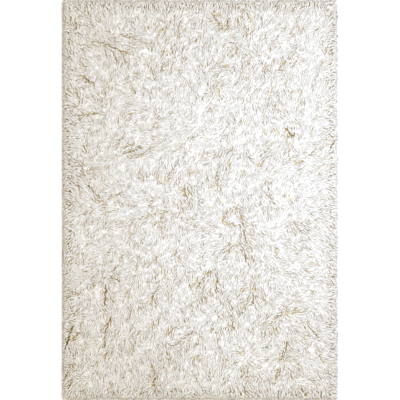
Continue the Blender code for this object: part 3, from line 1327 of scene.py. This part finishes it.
def make_floor():
    """A plain white floor just under the rug."""
    deselect_all()
    bpy.ops.mesh.primitive_plane_add(size=FLOOR_SIZE, location=(0, 0, -FLOOR_DROP))
    floor = settle(bpy.context.object, "floor")
    material, _, shader = new_material("floor_white")
    shader.inputs["Base Color"].default_value = (0.87, 0.90, 0.96, 1.0)
    shader.inputs["Roughness"].default_value = 0.9
    shader.inputs["Emission Color"].default_value = (1.0, 1.0, 1.0, 1.0)
    shader.inputs["Emission Strength"].default_value = 0.2
    floor.data.materials.append(material)
    return floor


def make_key_light(stage):
    """The large soft light on the right, turned towards the middle of the rug."""
    light = bpy.data.lights.new("key", "AREA")
    light.energy = stage.key_power
    light.size = KEY_SIZE
    light.color = stage.key_colour
    key = bpy.data.objects.new("key", light)
    key.location = KEY_PLACE
    key.rotation_euler = (-Vector(KEY_PLACE)).to_track_quat("-Z", "Y").to_euler()
    bpy.context.scene.collection.objects.link(key)


def make_room(stage):
    """An even white room, brighter overhead than round the walls."""
    world = bpy.data.worlds.new("room")
    world.use_nodes = True
    tree = world.node_tree
    direction = add_node(tree, "ShaderNodeTexCoord")
    height = add_node(tree, "ShaderNodeSeparateXYZ", {"Vector": direction.outputs["Generated"]})
    strength = add_node(tree, "ShaderNodeMapRange", {
        "Value": height.outputs["Z"],
        "To Min": WALL_SHARE * stage.room_light, "To Max": OVERHEAD_SHARE * stage.room_light,
    })
    background = tree.nodes["Background"]
    background.inputs["Color"].default_value = (*stage.room_colour, 1.0)
    tree.links.new(strength.outputs["Result"], background.inputs["Strength"])
    return world


def make_camera(stage):
    """A camera straight above the rug, as high as it takes to fill the view with it."""
    camera = bpy.data.cameras.new("camera")
    camera.lens = stage.lens
    camera.clip_end = 50.0
    eye = bpy.data.objects.new("camera", camera)
    rise = VIEW_SHARE * RUG_LENGTH * stage.lens / camera.sensor_width
    eye.location = (0.0, 0.0, VIEW_LEVEL + rise)
    bpy.context.scene.collection.objects.link(eye)
    return eye


# Operators and panel ---------------------------------------


class SHAG_RUG_OT_weave_ground(bpy.types.Operator):
    """Weave the flat wool ground that the pile is locked into"""

    bl_idname = "shag_rug.weave_ground"
    bl_label = "Weave Ground"

    def execute(self, context):
        cloth = make_ground(context.scene.shag_rug_ground)
        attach(cloth, "root")
        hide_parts(CAD_NODE)
        return {"FINISHED"}


class SHAG_RUG_OT_lay_pile(bpy.types.Operator):
    """Lay the long pile over the ground, in strips from side to side"""

    bl_idname = "shag_rug.lay_pile"
    bl_label = "Lay Pile"

    def execute(self, context):
        pile, ground = context.scene.shag_rug_pile, context.scene.shag_rug_ground
        lock = model_lock()
        pattern = LockPattern(lock)
        paths, width, tint, foot_top = lay_locks(pile, ground)
        rng = np.random.default_rng(pile.seed + 1)
        points = bend_locks(pattern, paths, width, rng.uniform(0, 2 * math.pi, width.shape))
        # How high the wool reaches all round each point. The depth below it sets the painted shade.
        surface = PileSurface(paths, width, foot_top)
        crest = surface.crest(points)
        material = wool_material(pile)
        across = np.argsort(paths[0, :, 0], kind="stable")
        for index, members in enumerate(np.array_split(across, STRIPS)):
            name = f"pile_strip_{index + 1}"
            mesh = strip_mesh(name, pattern, points[members], tint[members], crest[members])
            mesh.materials.append(material)
            strip = bpy.data.objects.new(name, mesh)
            context.scene.collection.objects.link(strip)
            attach(strip, "root")
        bpy.data.objects.remove(lock)
        foot = make_foot(pile, ground, surface, foot_top)
        foot.data.materials.append(material)
        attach(foot, "root")
        return {"FINISHED"}


class SHAG_RUG_OT_set_stage(bpy.types.Operator):
    """Set the pale floor, the soft lights and the camera straight above the rug"""

    bl_idname = "shag_rug.set_stage"
    bl_label = "Set Stage"

    def execute(self, context):
        stage = context.scene.shag_rug_stage
        floor = make_floor()
        make_key_light(stage)
        context.scene.world = make_room(stage)
        context.scene.camera = make_camera(stage)
        context.scene.view_settings.view_transform = "Standard"
        return {"FINISHED"}


class SHAG_RUG_PT_panel(bpy.types.Panel):
    """The rug's sizes and colours, and the steps that make it"""

    bl_label = "Shag Rug"
    bl_space_type = "VIEW_3D"
    bl_region_type = "UI"
    bl_category = "Shag Rug"

    def draw(self, context):
        layout = self.layout
        for group, operator in (
            (context.scene.shag_rug_ground, SHAG_RUG_OT_weave_ground),
            (context.scene.shag_rug_pile, SHAG_RUG_OT_lay_pile),
            (context.scene.shag_rug_stage, SHAG_RUG_OT_set_stage),
        ):
            box = layout.box()
            for name in group.__annotations__:
                box.prop(group, name)
            box.operator(operator.bl_idname)


CLASSES = (
    ShagRugGround,
    ShagRugPile,
    ShagRugStage,
    SHAG_RUG_OT_weave_ground,
    SHAG_RUG_OT_lay_pile,
    SHAG_RUG_OT_set_stage,
    SHAG_RUG_PT_panel,
)


def register():
    for cls in CLASSES:
        bpy.utils.register_class(cls)
    bpy.types.Scene.shag_rug_ground = PointerProperty(type=ShagRugGround)
    bpy.types.Scene.shag_rug_pile = PointerProperty(type=ShagRugPile)
    bpy.types.Scene.shag_rug_stage = PointerProperty(type=ShagRugStage)


def unregister():
    del bpy.types.Scene.shag_rug_stage
    del bpy.types.Scene.shag_rug_pile
    del bpy.types.Scene.shag_rug_ground
    for cls in reversed(CLASSES):
        bpy.utils.unregister_class(cls)


def main():
    register()
    bpy.ops.shag_rug.weave_ground()
    bpy.ops.shag_rug.lay_pile()
    bpy.ops.shag_rug.set_stage()


if __name__ == "__main__":
    main()
